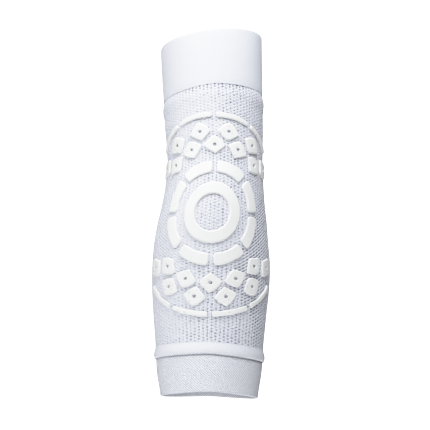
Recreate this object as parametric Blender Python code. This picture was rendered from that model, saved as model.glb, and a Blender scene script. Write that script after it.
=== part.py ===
"""Knitted elbow sleeve with a raised silicone relief, shown in the shape it takes on an arm.

Lengths are metres and +Z is up. The sleeve's long axis follows Z with the shoulder end up. The
point of the elbow faces -Y, and the origin is the middle of the arm at the elbow joint.
"""

import math

import bmesh
import bpy

# Lengths and widths of the sleeve, outside, as worn
UPPER_REACH = 0.1404
LOWER_REACH = 0.1319
UPPER_WIDTH = 0.0783
WAIST_WIDTH = 0.0730
FOREARM_WIDTH = 0.0895
HEM_WIDTH = 0.0752

# Bend of the elbow, as one angle shared between the two halves, and how softly it turns
FLEX_ANGLE = math.radians(5.0)
FLEX_RADIUS = 0.030

# Slant of the knitted edges, positive where the +X side is higher
TOP_SLANT_ANGLE = math.radians(6.8)
HEM_SLANT_ANGLE = math.radians(-2.3)

# Knitted bands and their walls
UPPER_CUFF_HEIGHT = 0.0429
LOWER_CUFF_HEIGHT = 0.0276
WELT_HEIGHT = 0.0085
CUFF_WALL = 0.0020
BODY_WALL = 0.0014
SEAM_GAP = 0.0003
SEAM_DIP = 0.0004
PUFF_RISE = 0.0009
PUFF_LENGTH = 0.014
WELT_RISE = 0.0015
WELT_TUCK = 0.0045

# Silicone relief: an oval target round the elbow, with lozenge fields above and below it
RELIEF_RISE = 0.0012
RELIEF_SEAT = 0.0003
UPPER_MARGIN = 0.0200
LOWER_MARGIN = 0.0185
RING_BORE_RADIUS = 0.0130
BAND_WIDTH = 0.0085
WINDOW_GAP = 0.0070
ARC_COUNT = 8
ARC_GAP = 0.0032
LOZENGE_WIDTH = 0.0160
LOZENGE_HEIGHT = 0.0130
LOZENGE_GAP = 0.0020
LOZENGE_ROUNDNESS = 1.25
LOZENGE_ROWS = (5, 6)
VENT_RADIUS = 0.0012
FIELD_GAP = 0.0050
BORDER_WIDTH = 0.0035
BORDER_GAP = 0.0030
BORDER_COUNT = 4
BORDER_SPLIT = 0.0030
BORDER_ANGLE = math.radians(96.0)

# Mesh fineness
AROUND = 48
BODY_RINGS = 24
BODY_INNER_RINGS = 9
PUFF_RINGS = 4
CUFF_RINGS = 4
RIM_POINTS = 3
RING_POINTS = 36
LOZENGE_POINTS = 12
ARC_STEPS = 4
BORDER_STEPS = 4
CAP_TURNS = (60, 30, 0, -30, -60)
CAP_ROUNDNESS = 4.0

# Cross-sections from the shoulder end down. Height is a share of UPPER_REACH above the elbow and
# of LOWER_REACH below it. The width of a section is a blend of the named widths in these shares.
# Back and inner are the depths on the elbow side and on the inner side, as shares of half the
# width. Shift moves the section sideways, as a share of half of FOREARM_WIDTH.
SECTIONS = (
    # height, upper, waist, forearm, hem, back, inner, shift
    (1.15, 1.00, 0.00, 0.00, 0.00, 1.01, 0.96, -0.020),
    (0.93, 1.00, 0.00, 0.00, 0.00, 1.01, 0.96, -0.012),
    (0.71, 0.70, 0.30, 0.00, 0.00, 1.00, 0.96, 0.009),
    (0.52, 0.45, 0.55, 0.00, 0.00, 0.99, 0.98, 0.029),
    (0.315, 0.00, 1.00, 0.00, 0.00, 1.01, 0.99, 0.047),
    (0.19, 0.00, 0.86, 0.14, 0.00, 1.04, 0.96, 0.036),
    (0.09, 0.00, 0.66, 0.34, 0.00, 1.04, 0.92, 0.018),
    (0.00, 0.00, 0.40, 0.60, 0.00, 1.00, 0.89, 0.000),
    (-0.11, 0.00, 0.18, 0.82, 0.00, 0.94, 0.86, -0.018),
    (-0.25, 0.00, 0.00, 1.00, 0.00, 0.88, 0.84, -0.020),
    (-0.39, 0.00, 0.00, 0.965, 0.035, 0.85, 0.84, -0.028),
    (-0.54, 0.00, 0.00, 0.735, 0.265, 0.84, 0.84, -0.040),
    (-0.71, 0.00, 0.00, 0.46, 0.54, 0.85, 0.85, -0.047),
    (-0.86, 0.00, 0.00, 0.29, 0.71, 0.87, 0.87, -0.052),
    (-0.96, 0.00, 0.00, 0.00, 1.00, 0.88, 0.88, -0.050),
    (-1.10, 0.00, 0.00, 0.00, 0.93, 0.89, 0.89, -0.048),
)


def lozenge_row_pitch():
    """How far apart two staggered rows stand so that their slanted sides keep the gap."""
    share = (LOZENGE_WIDTH + LOZENGE_GAP) / 2 / LOZENGE_WIDTH
    touching = LOZENGE_HEIGHT * (1 - share**LOZENGE_ROUNDNESS) ** (1 / LOZENGE_ROUNDNESS)
    return touching + LOZENGE_GAP * math.hypot(1, LOZENGE_HEIGHT / LOZENGE_WIDTH)


# Radii of the relief, from the point of the elbow outwards
ARC_RADIUS = RING_BORE_RADIUS + BAND_WIDTH * 1.5 + WINDOW_GAP
FIELD_RADIUS = ARC_RADIUS + BAND_WIDTH / 2 + FIELD_GAP + LOZENGE_HEIGHT / 2
LAST_ROW_RADIUS = FIELD_RADIUS + lozenge_row_pitch() * (len(LOZENGE_ROWS) - 1)
BORDER_RADIUS = LAST_ROW_RADIUS + LOZENGE_HEIGHT / 2 + BORDER_GAP + BORDER_WIDTH / 2
RELIEF_RADIUS = BORDER_RADIUS + BORDER_WIDTH / 2

# Levels of the seams on the arm's middle line
TOP_SEAM = UPPER_REACH - UPPER_CUFF_HEIGHT
LOWER_SEAM = LOWER_CUFF_HEIGHT - LOWER_REACH
WELT_TOP = LOWER_SEAM + WELT_HEIGHT

KNIT_WHITE = (0.83, 0.84, 0.88, 1.0)
SILICONE_WHITE = (0.88, 0.88, 0.86, 1.0)


def clear_scene():
    for leftover in list(bpy.data.objects):
        bpy.data.objects.remove(leftover)


def plain_material(name, colour, roughness):
    material = bpy.data.materials.new(name)
    material.use_nodes = True
    shader = material.node_tree.nodes["Principled BSDF"]
    shader.inputs["Base Color"].default_value = colour
    shader.inputs["Roughness"].default_value = roughness
    shader.inputs["Metallic"].default_value = 0.0
    return material


def smooth_step(value):
    clamped = max(0.0, min(1.0, value))
    return clamped * clamped * (3.0 - 2.0 * clamped)


def section_rows():
    """The table as lengths: height, half width, depth to the elbow side, depth inwards, shift."""
    rows = []
    for height, upper, waist, forearm, hem, back, inner, shift in reversed(SECTIONS):
        reach = UPPER_REACH if height > 0 else LOWER_REACH
        half = (
            upper * UPPER_WIDTH + waist * WAIST_WIDTH + forearm * FOREARM_WIDTH + hem * HEM_WIDTH
        ) / 2
        rows.append((height * reach, half, half * back, half * inner, shift * FOREARM_WIDTH / 2))
    return rows


ROWS = section_rows()


def section_at(height):
    """Half width, two depths and shift at a height, on a smooth curve through the table."""
    last = len(ROWS) - 2
    index = 0
    while index < last and height > ROWS[index + 1][0]:
        index += 1
    before = ROWS[max(index - 1, 0)]
    low = ROWS[index]
    high = ROWS[index + 1]
    after = ROWS[min(index + 2, len(ROWS) - 1)]
    span = high[0] - low[0]
    t = (height - low[0]) / span
    values = []
    for column in range(1, 5):
        slope_low = (high[column] - before[column]) / (high[0] - before[0]) * span
        slope_high = (after[column] - low[column]) / (after[0] - low[0]) * span
        values.append(
            (2 * t**3 - 3 * t**2 + 1) * low[column]
            + (t**3 - 2 * t**2 + t) * slope_low
            + (3 * t**2 - 2 * t**3) * high[column]
            + (t**3 - t**2) * slope_high
        )
    return values


def axis_offset(height):
    """How far the bent arm's axis lies behind the elbow, towards +Y."""
    return math.tan(FLEX_ANGLE / 2) * (math.hypot(height, FLEX_RADIUS) - FLEX_RADIUS)


def axis_slope(height):
    return math.tan(FLEX_ANGLE / 2) * height / math.hypot(height, FLEX_RADIUS)


def arm_point(turn, height, lift):
    """A point on the arm's surface. Turn 0 is the point of the elbow, and lift is outwards."""
    half, back, inner, shift = section_at(height)
    depth = back if math.cos(turn) > 0 else inner
    x = shift + (half + lift) * math.sin(turn)
    y = axis_offset(height) - (depth + lift) * math.cos(turn)
    return (x, y, height)


def edge_slant(level):
    if level > 0:
        return math.tan(TOP_SLANT_ANGLE) * smooth_step(level / TOP_SEAM)
    return math.tan(HEM_SLANT_ANGLE) * smooth_step(level / LOWER_SEAM)


def knit_point(turn, level, lift):
    """A point on a knitted course, which slants sideways and stays square to the bent axis."""
    half, back, _, _ = section_at(level)
    height = level + edge_slant(level) * half * math.sin(turn)
    height += axis_slope(level) * back * math.cos(turn)
    return arm_point(turn, height, lift)


def relief_point(radius, bearing, lift):
    """A point of the relief, at a radius from the point of the elbow and a bearing from up."""
    along = radius * math.cos(bearing) / RELIEF_RADIUS
    reach = TOP_SEAM - UPPER_MARGIN if along > 0 else -WELT_TOP - LOWER_MARGIN
    height = along * reach
    half, back, _, _ = section_at(height)
    turn = radius * math.sin(bearing) / ((half + back) / 2)
    return arm_point(turn, height, lift)


def add_object(name, mesh, material):
    mesh.materials.append(material)
    mesh.shade_smooth()
    mesh.set_sharp_from_angle(angle=math.radians(40))
    solid = bpy.data.objects.new(name, mesh)
    bpy.context.scene.collection.objects.link(solid)
    return solid


def skin_rings(name, rings, closed, material):
    """Faces between each ring of points and the next, as a tube closed on itself or a shell."""
    shape = bmesh.new()
    loops = [[shape.verts.new(point) for point in ring] for ring in rings]
    count = len(loops[0])
    pairs = list(zip(loops, loops[1:]))
    if closed:
        pairs.append((loops[-1], loops[0]))
    for lower, upper in pairs:
        for index in range(count):
            after = (index + 1) % count
            shape.faces.new((lower[index], lower[after], upper[after], upper[index]))
    bmesh.ops.remove_doubles(shape, verts=shape.verts, dist=1e-6)
    bmesh.ops.recalc_face_normals(shape, faces=shape.faces)
    mesh = bpy.data.meshes.new(name)
    shape.to_mesh(mesh)
    shape.free()
    return add_object(name, mesh, material)


def knit_tube(name, profile, material):
    """A knitted tube from the closed outline of its wall, as pairs of level and lift."""
    turns = [2 * math.pi * index / AROUND for index in range(AROUND)]
    rings = [[knit_point(turn, level, lift) for turn in turns] for level, lift in profile]
    return skin_rings(name, rings, True, material)


def levels_between(low, high, count):
    return [low + (high - low) * index / count for index in range(count + 1)]


def folded_rim(level, outer, inner, upwards):
    """The round of a hem, from the outer face to the inner one."""
    radius = (outer - inner) / 2
    rim = []
    for index in range(1, RIM_POINTS + 1):
        angle = math.pi * index / (RIM_POINTS + 1)
        rise = radius * math.sin(angle)
        side = (outer + inner) / 2 + radius * math.cos(angle)
        rim.append((level + (rise if upwards else -rise), side))
    return rim


def upper_cuff(material):
    """Plain double-knit band. Its lower edge meets the body in a shallow valley."""
    low = TOP_SEAM + SEAM_GAP / 2
    high = UPPER_REACH - CUFF_WALL / 2
    outer = [(level, 0.0) for level in levels_between(low + SEAM_DIP * 3, high, CUFF_RINGS)]
    inner = [(level, -CUFF_WALL) for level in levels_between(high, low, CUFF_RINGS)]
    profile = [(low, -SEAM_DIP)] + outer + folded_rim(high, 0.0, -CUFF_WALL, True) + inner
    return knit_tube("upper_cuff", profile, material)


def body_lift(level):
    """The body stands a little proud where the tighter cuff lets it go."""
    below = (TOP_SEAM - level) / PUFF_LENGTH
    if below < 0 or below > 1:
        return 0.0
    return PUFF_RISE * math.sin(math.pi * math.sqrt(below)) - SEAM_DIP * (1 - smooth_step(below * 4))


def sleeve_body(material):
    """The openwork tube between the upper cuff and the welt, as its plain wall."""
    low = WELT_TOP + SEAM_GAP / 2
    high = TOP_SEAM - SEAM_GAP / 2
    fine = levels_between(high - PUFF_LENGTH, high, PUFF_RINGS)
    levels = levels_between(low, high - PUFF_LENGTH, BODY_RINGS)[:-1] + fine
    outer = [(level, body_lift(level)) for level in levels]
    inner = [(level, -BODY_WALL) for level in levels_between(high, low, BODY_INNER_RINGS)]
    return knit_tube("sleeve_body", outer + inner, material)


def lower_welt(material):
    """The rolled end of the body, which stands proud of the lower cuff and laps over it."""
    top = WELT_TOP - SEAM_GAP / 2
    shoulder = LOWER_SEAM + WELT_TUCK + SEAM_GAP
    profile = [
        (top, 0.0),
        (LOWER_SEAM + WELT_HEIGHT * 0.62, WELT_RISE * 0.45),
        (LOWER_SEAM + WELT_HEIGHT * 0.30, WELT_RISE),
        (LOWER_SEAM + WELT_HEIGHT * 0.10, WELT_RISE * 0.95),
        (LOWER_SEAM, WELT_RISE * 0.60),
        (LOWER_SEAM + SEAM_GAP, SEAM_GAP),
        (shoulder, SEAM_GAP),
        (shoulder, -BODY_WALL),
        (top, -BODY_WALL),
    ]
    return knit_tube("lower_welt", profile[::-1], material)


def lower_cuff(material):
    """Plain double-knit band whose top end is tucked under the welt."""
    low = CUFF_WALL / 2 - LOWER_REACH
    high = LOWER_SEAM + WELT_TUCK
    outer = [(level, 0.0) for level in levels_between(high, low, CUFF_RINGS)]
    inner = [(level, -CUFF_WALL) for level in levels_between(low, high, CUFF_RINGS)]
    profile = outer + folded_rim(low, 0.0, -CUFF_WALL, False) + inner
    return knit_tube("lower_cuff", profile, material)


def crowned_rings(outline, core, pierced):
    """Rings of a pad: base, side and crowned top, from polar outlines to a hole or a spine."""
    base = RELIEF_SEAT
    shoulder = RELIEF_SEAT + RELIEF_RISE * 0.7
    crown = RELIEF_SEAT + RELIEF_RISE
    rings = [
        [relief_point(radius, bearing, base) for radius, bearing in core],
        [relief_point(radius, bearing, base) for radius, bearing in outline],
        [relief_point(radius, bearing, shoulder) for radius, bearing in outline],
    ]
    if pierced:
        between = [((a + c) / 2, (b + d) / 2) for (a, b), (c, d) in zip(outline, core)]
        rings.append([relief_point(radius, bearing, crown) for radius, bearing in between])
        rings.append([relief_point(radius, bearing, shoulder) for radius, bearing in core])
    else:
        rings.append([relief_point(radius, bearing, crown) for radius, bearing in core])
    return rings


def elbow_ring(material):
    """The closed band round the point of the elbow, with a mid ring under it too."""
    bearings = [2 * math.pi * index / RING_POINTS for index in range(RING_POINTS)]
    inner = [(RING_BORE_RADIUS, bearing) for bearing in bearings]
    outer = [(RING_BORE_RADIUS + BAND_WIDTH, bearing) for bearing in bearings]
    rings = crowned_rings(outer, inner, True)
    middle = RING_BORE_RADIUS + BAND_WIDTH / 2
    rings.insert(1, [relief_point(middle, bearing, RELIEF_SEAT) for bearing in bearings])
    return skin_rings("elbow_ring", rings, True, material)


def arc_bar(name, radius, width, start, end, steps, material):
    """A bar bent round the elbow, with rounded corners at both ends."""
    half = width / 2
    cap = half / radius
    bearings = [start + cap + (end - start - 2 * cap) * index / steps for index in range(steps + 1)]
    outline = [(radius + half, bearing) for bearing in bearings]
    core = [(radius, bearing) for bearing in bearings]
    corner = 2 / CAP_ROUNDNESS
    for degrees in CAP_TURNS:
        along = abs(math.cos(math.radians(degrees))) ** corner
        aside = abs(math.sin(math.radians(degrees))) ** corner
        outline.append((radius + math.copysign(half * aside, degrees), bearings[-1] + cap * along))
        core.append((radius, bearings[-1]))
    outline += [(radius - half, bearing) for bearing in reversed(bearings)]
    core += [(radius, bearing) for bearing in reversed(bearings)]
    for degrees in reversed(CAP_TURNS):
        along = abs(math.cos(math.radians(degrees))) ** corner
        aside = abs(math.sin(math.radians(degrees))) ** corner
        outline.append((radius + math.copysign(half * aside, degrees), bearings[0] - cap * along))
        core.append((radius, bearings[0]))
    return skin_rings(name, crowned_rings(outline, core, False), False, material)


def arc_bars(material):
    """The broken ring outside the elbow ring."""
    pitch = 2 * math.pi / ARC_COUNT
    gap = ARC_GAP / ARC_RADIUS
    for index in range(ARC_COUNT):
        start = pitch * index + gap / 2
        end = start + pitch - gap
        arc_bar(f"arc_bar_{index + 1}", ARC_RADIUS, BAND_WIDTH, start, end, ARC_STEPS, material)


def lozenge(name, radius, bearing, material):
    """A rounded diamond with a vent hole, one tip towards the elbow."""
    power = 2 / LOZENGE_ROUNDNESS
    outline = []
    core = []
    for index in range(LOZENGE_POINTS):
        angle = 2 * math.pi * index / LOZENGE_POINTS
        cosine = math.cos(angle)
        sine = math.sin(angle)
        out = LOZENGE_HEIGHT / 2 * math.copysign(abs(cosine) ** power, cosine)
        aside = LOZENGE_WIDTH / 2 * math.copysign(abs(sine) ** power, sine)
        outline.append((radius + out, bearing + aside / radius))
        core.append((radius + VENT_RADIUS * cosine, bearing + VENT_RADIUS * sine / radius))
    return skin_rings(name, crowned_rings(outline, core, True), True, material)


def fields(material):
    """Two staggered rows of lozenges above and below, each field closed by a thin broken bar."""
    step = (LOZENGE_WIDTH + LOZENGE_GAP) / FIELD_RADIUS
    pitch = BORDER_ANGLE / BORDER_COUNT
    split = BORDER_SPLIT / BORDER_RADIUS
    for side, middle in (("upper", 0.0), ("lower", math.pi)):
        number = 0
        for row, count in enumerate(LOZENGE_ROWS):
            radius = FIELD_RADIUS + row * lozenge_row_pitch()
            for index in range(count):
                number += 1
                bearing = middle + step * (index - (count - 1) / 2)
                lozenge(f"{side}_lozenge_{number}", radius, bearing, material)
        for index in range(BORDER_COUNT):
            name = f"{side}_border_{index + 1}"
            start = middle - BORDER_ANGLE / 2 + pitch * index + split / 2
            end = start + pitch - split
            arc_bar(name, BORDER_RADIUS, BORDER_WIDTH, start, end, BORDER_STEPS, material)


def build():
    clear_scene()
    plain_knit = plain_material("plain_knit", KNIT_WHITE, 0.85)
    open_knit = plain_material("open_knit", KNIT_WHITE, 0.9)
    silicone = plain_material("silicone", SILICONE_WHITE, 0.5)
    upper_cuff(plain_knit)
    sleeve_body(open_knit)
    lower_welt(plain_knit)
    lower_cuff(plain_knit)
    elbow_ring(silicone)
    arc_bars(silicone)
    fields(silicone)


build()
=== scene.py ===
# %% [markdown]
# # A knitted elbow sleeve
#
# The part is a white compression sleeve in the form that it takes on an arm. It has a plain cuff at
# each end, an openwork body, a rolled welt above the lower cuff, and a relief of soft silicone over
# the joint. This script dresses the plain CAD solids. They load first, because every piece made
# here stands in for one or more of them and keeps their place.

import math

import bmesh
import bpy
import numpy as np
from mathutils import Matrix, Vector


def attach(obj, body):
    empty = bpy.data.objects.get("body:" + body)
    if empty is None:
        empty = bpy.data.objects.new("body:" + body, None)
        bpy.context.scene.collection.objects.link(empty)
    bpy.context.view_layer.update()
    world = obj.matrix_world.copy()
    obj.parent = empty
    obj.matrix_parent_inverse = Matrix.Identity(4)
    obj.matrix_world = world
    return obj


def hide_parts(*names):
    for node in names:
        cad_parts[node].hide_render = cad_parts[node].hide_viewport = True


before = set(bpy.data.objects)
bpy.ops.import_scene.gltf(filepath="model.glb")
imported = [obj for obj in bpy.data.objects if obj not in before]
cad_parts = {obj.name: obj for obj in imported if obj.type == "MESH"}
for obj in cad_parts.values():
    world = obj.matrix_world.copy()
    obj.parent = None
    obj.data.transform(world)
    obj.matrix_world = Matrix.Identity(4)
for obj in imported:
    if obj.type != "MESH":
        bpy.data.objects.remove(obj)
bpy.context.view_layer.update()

# %% [markdown]
# ## The sleeve's sizes
#
# These are the sizes of the CAD part, in metres. +Z runs up the arm, the point of the elbow faces
# -Y, and the origin is inside the arm at the joint. They are written again here, because the
# visual pieces follow the same form but can't read the part's source.

# %% Sizes
UPPER_REACH = 0.1404
LOWER_REACH = 0.1319
UPPER_WIDTH = 0.0783
WAIST_WIDTH = 0.0730
FOREARM_WIDTH = 0.0895
HEM_WIDTH = 0.0752
FLEX_SLOPE = math.tan(math.radians(2.5))
FLEX_RADIUS = 0.030
TOP_SLANT = math.tan(math.radians(6.8))
SEAM_SLANT = math.tan(math.radians(4.4))
WELT_SLANT = math.tan(math.radians(-1.9))
HEM_SLANT = math.tan(math.radians(-1.4))
UPPER_CUFF_HEIGHT = 0.0429
LOWER_CUFF_HEIGHT = 0.0276
WELT_HEIGHT = 0.0085
CUFF_WALL = 0.0020
BODY_WALL = 0.0014
SEAM_GAP = 0.0003
SEAM_DIP = 0.0004
PUFF_RISE = 0.0009
PUFF_LENGTH = 0.014
WELT_RISE = 0.0015
WELT_TUCK = 0.0045
TOP_SEAM = UPPER_REACH - UPPER_CUFF_HEIGHT
LOWER_SEAM = LOWER_CUFF_HEIGHT - LOWER_REACH
WELT_TOP = LOWER_SEAM + WELT_HEIGHT
SEAM_VALLEY = 0.0006
VALLEY_HEIGHT = 0.0080
CUFF_LAP = 0.0010
print("seams at", round(TOP_SEAM, 4), round(WELT_TOP, 4), round(LOWER_SEAM, 4))

# %% [markdown]
# ## The form of the arm
#
# A sleeve has no form of its own: it takes the arm's. So one table of cross-sections describes the
# arm, and everything knitted or printed is laid on it. Each row blends four widths, and a smooth
# curve runs through the rows, as on a pattern cutter's body form. The functions take whole arrays,
# because the knit alone has close to a hundred thousand points.

# %% Cross-sections from the shoulder end down
SECTIONS = (
    # height, upper, waist, forearm, hem, back, inner, shift
    (1.15, 1.00, 0.00, 0.00, 0.00, 1.01, 0.96, -0.020),
    (0.93, 1.00, 0.00, 0.00, 0.00, 1.01, 0.96, -0.012),
    (0.71, 0.70, 0.30, 0.00, 0.00, 1.00, 0.96, 0.009),
    (0.52, 0.45, 0.55, 0.00, 0.00, 0.99, 0.98, 0.029),
    (0.315, 0.00, 1.00, 0.00, 0.00, 1.01, 0.99, 0.047),
    (0.19, 0.00, 0.86, 0.14, 0.00, 1.04, 0.96, 0.036),
    (0.09, 0.00, 0.66, 0.34, 0.00, 1.04, 0.92, 0.018),
    (0.00, 0.00, 0.40, 0.60, 0.00, 1.00, 0.89, 0.000),
    (-0.11, 0.00, 0.18, 0.82, 0.00, 0.94, 0.86, -0.018),
    (-0.25, 0.00, 0.00, 1.00, 0.00, 0.88, 0.84, -0.020),
    (-0.39, 0.00, 0.00, 0.965, 0.035, 0.85, 0.84, -0.028),
    (-0.54, 0.00, 0.00, 0.735, 0.265, 0.84, 0.84, -0.040),
    (-0.71, 0.00, 0.00, 0.46, 0.54, 0.85, 0.85, -0.047),
    (-0.86, 0.00, 0.00, 0.29, 0.71, 0.87, 0.87, -0.052),
    (-0.96, 0.00, 0.00, 0.00, 1.00, 0.88, 0.88, -0.050),
    (-1.10, 0.00, 0.00, 0.00, 0.93, 0.89, 0.89, -0.048),
)


def section_rows():
    """Rows from the bottom up: height, half width, depth to the elbow, depth inwards, shift."""
    rows = []
    for height, upper, waist, forearm, hem, back, inner, shift in reversed(SECTIONS):
        reach = UPPER_REACH if height > 0 else LOWER_REACH
        width = upper * UPPER_WIDTH + waist * WAIST_WIDTH
        width += forearm * FOREARM_WIDTH + hem * HEM_WIDTH
        half = width / 2
        rows.append((height * reach, half, half * back, half * inner, shift * FOREARM_WIDTH / 2))
    return np.array(rows)


ROWS = section_rows()
print(len(ROWS), "sections from", round(ROWS[0, 0], 3), "to", round(ROWS[-1, 0], 3))


# %% Points on the arm
def section_at(height):
    """Half width, two depths and shift at each height, on a smooth curve through the rows."""
    height = np.asarray(height, float)
    low = np.clip(np.searchsorted(ROWS[:, 0], height, side="right") - 1, 0, len(ROWS) - 2)
    before = np.maximum(low - 1, 0)
    high = low + 1
    after = np.minimum(low + 2, len(ROWS) - 1)
    span = ROWS[high, 0] - ROWS[low, 0]
    t = (height - ROWS[low, 0]) / span
    values = []
    for column in range(1, 5):
        value = ROWS[:, column]
        slope_low = (value[high] - value[before]) / (ROWS[high, 0] - ROWS[before, 0]) * span
        slope_high = (value[after] - value[low]) / (ROWS[after, 0] - ROWS[low, 0]) * span
        values.append(
            (2 * t**3 - 3 * t**2 + 1) * value[low]
            + (t**3 - 2 * t**2 + t) * slope_low
            + (3 * t**2 - 2 * t**3) * value[high]
            + (t**3 - t**2) * slope_high
        )
    return values


def ramp(value, start, end):
    """0 up to the start, 1 past the end and smooth between them."""
    share = np.clip((value - start) / (end - start), 0.0, 1.0)
    return share * share * (3.0 - 2.0 * share)


def full_turn(count):
    """The angles of a whole turn in even steps."""
    return 2 * np.pi * np.arange(count) / count


def axis_at(height):
    """How far the bent axis of the arm lies behind the elbow's."""
    return FLEX_SLOPE * (np.hypot(height, FLEX_RADIUS) - FLEX_RADIUS)


def arm_points(turn, height, lift):
    """Points on the arm. Turn 0 is the point of the elbow, and lift is outwards."""
    half, back, inner, shift = section_at(height)
    depth = np.where(np.cos(turn) > 0, back, inner)
    x = shift + (half + lift) * np.sin(turn)
    y = axis_at(height) - (depth + lift) * np.cos(turn)
    return np.stack([x, y, height + 0 * x], axis=-1)


COURSES = (
    # level, sideways slant, how far the sides hang below the front
    (-LOWER_REACH, HEM_SLANT, 0.0023),
    (LOWER_SEAM, WELT_SLANT, 0.0025),
    (WELT_TOP, WELT_SLANT, 0.0022),
    (-0.050, WELT_SLANT / 2, 0.0),
    (0.0, 0.0, 0.0),
    (0.050, SEAM_SLANT / 2, 0.0),
    (TOP_SEAM, SEAM_SLANT, 0.0033),
    (UPPER_REACH, TOP_SLANT, 0.0),
)
BOW_SOFTNESS = 0.17


def knit_points(turn, level, lift):
    """Points on a knitted course, which slants, bows and stays square to the bent axis."""
    turn, level, lift = np.broadcast_arrays(turn, level, lift)
    half, back, _, _ = section_at(level)
    levels, slants, bows = zip(*COURSES)
    slant = np.interp(level, levels, slants)
    bow = np.interp(level, levels, bows)
    sideways = (np.hypot(np.sin(turn), BOW_SOFTNESS) - BOW_SOFTNESS) / (1 - BOW_SOFTNESS)
    lean = FLEX_SLOPE * level / np.hypot(level, FLEX_RADIUS)
    height = level + slant * half * np.sin(turn) + lean * back * np.cos(turn)
    return arm_points(turn, height + bow * (0.5 - sideways), lift)


print("waist half width", round(float(section_at(0.044)[0]), 4))

# %% [markdown]
# ## Camera, floor and light
#
# The photograph looks at the sleeve from a little below: both rims arch upwards, and the inside of
# the back shows under the lower hem. A long lens from 1.7 m away gives the same arches. A large
# soft lamp stands far out at the left. Two nearer ones hang in front and above, the stronger at the
# right, so the upper arm is brighter than the forearm. A weak one shines up into the lower hem, and
# one behind keeps the back from going grey. The camera sees a white wall, but the light that the
# surroundings give is dim and a little blue, which leaves the white cloth its shading.

# %% Camera
IMAGE_SIDE = 430
METRES_PER_PIXEL = 0.00076
CAMERA_DISTANCE = 1.7
CAMERA_ELEVATION = math.radians(-10.5)
CAMERA_AIM = Vector((0.00205, 0.0, 0.0053))
SENSOR = 36.0

camera_data = bpy.data.cameras.new("camera")
camera_data.sensor_width = SENSOR
camera_data.lens = SENSOR * CAMERA_DISTANCE / (IMAGE_SIDE * METRES_PER_PIXEL)
camera_data.clip_end = 20.0
camera = bpy.data.objects.new("camera", camera_data)
towards_camera = Vector((0.0, -math.cos(CAMERA_ELEVATION), math.sin(CAMERA_ELEVATION)))
camera.location = CAMERA_AIM + towards_camera * CAMERA_DISTANCE
camera.rotation_euler = (-towards_camera).to_track_quat("-Z", "Y").to_euler()
bpy.context.scene.collection.objects.link(camera)
bpy.context.scene.camera = camera
bpy.context.scene.view_settings.view_transform = "Standard"
print("lens", round(camera_data.lens, 1), "mm, camera at", [round(v, 3) for v in camera.location])


# %% Lights and surroundings
LAMPS = (
    # name, bearing, elevation, distance, size, power, colour
    ("side_light", -68, 28, 1.8, 1.2, 20.0, (0.98, 0.988, 1.0)),
    ("top_light", -14, 52, 0.72, 0.4, 2.4, (1.0, 0.995, 0.99)),
    ("right_light", 30, 54, 0.72, 0.4, 4.5, (0.96, 0.975, 1.0)),
    ("low_light", -2, -58, 0.6, 0.4, 1.85, (0.985, 0.99, 1.0)),
    ("back_light", 182, 15, 1.8, 0.6, 22.0, (1.0, 1.0, 1.0)),
)


def soft_light(name, bearing, elevation, distance, size, power, colour):
    """A round lamp aimed at the elbow. Bearing 0 is in front, and bearings grow to the right."""
    data = bpy.data.lights.new(name, "AREA")
    data.shape = "DISK"
    data.size = size
    data.energy = power
    data.color = colour
    bearing = math.radians(bearing)
    flat = distance * math.cos(math.radians(elevation))
    height = distance * math.sin(math.radians(elevation))
    place = Vector((flat * math.sin(bearing), -flat * math.cos(bearing), height))
    lamp = bpy.data.objects.new(name, data)
    lamp.location = place
    lamp.rotation_euler = (-place).to_track_quat("-Z", "Y").to_euler()
    bpy.context.scene.collection.objects.link(lamp)


for lamp in LAMPS:
    soft_light(*lamp)

world = bpy.data.worlds.new("studio")
world.use_nodes = True
bpy.context.scene.world = world
air = world.node_tree
air.nodes.clear()
ray = air.nodes.new("ShaderNodeLightPath")
either = air.nodes.new("ShaderNodeMixShader")
air.links.new(ray.outputs["Is Camera Ray"], either.inputs["Fac"])
for socket, colour, strength in (
    # the room, which lights the sleeve, and the wall, which the camera sees
    (1, (0.90, 0.93, 1.0, 1.0), 0.09),
    (2, (1.0, 1.0, 1.0, 1.0), 3.0),
):
    glow = air.nodes.new("ShaderNodeBackground")
    glow.inputs["Color"].default_value = colour
    glow.inputs["Strength"].default_value = strength
    air.links.new(glow.outputs["Background"], either.inputs[socket])
surroundings = air.nodes.new("ShaderNodeOutputWorld")
air.links.new(either.outputs["Shader"], surroundings.inputs["Surface"])

# %% [markdown]
# A white object on white needs care at the bright end. A camera doesn't clip there: its response
# bends over, so that the brightest cloth keeps its shading. The curve below has such a shoulder.

# %% Highlight shoulder
SHOULDER_WHITE = 1.5
SHOULDER = (
    # light, response
    (0.30, 0.30), (0.60, 0.60), (0.80, 0.785), (0.95, 0.875), (1.10, 0.93),
)
view = bpy.context.scene.view_settings
view.use_curve_mapping = True
view.curve_mapping.white_level = (SHOULDER_WHITE, SHOULDER_WHITE, SHOULDER_WHITE)
response = view.curve_mapping.curves[3]
for light, answer in SHOULDER:
    response.points.new(light / SHOULDER_WHITE, answer)
view.curve_mapping.update()
print("shoulder points", [tuple(round(v, 2) for v in point.location) for point in response.points])

# %% [markdown]
# ## Shader sums as Python
#
# A procedural finish is mostly arithmetic on coordinates, and node by node that is hard to read.
# So one small class wraps an output socket: adding or multiplying two of them adds the Math node
# and gives back its output. Colours go through Mix nodes, because a Math node would turn them
# grey. Two methods end a pattern: one makes a bump of it, and one feeds it to the shader.


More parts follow.
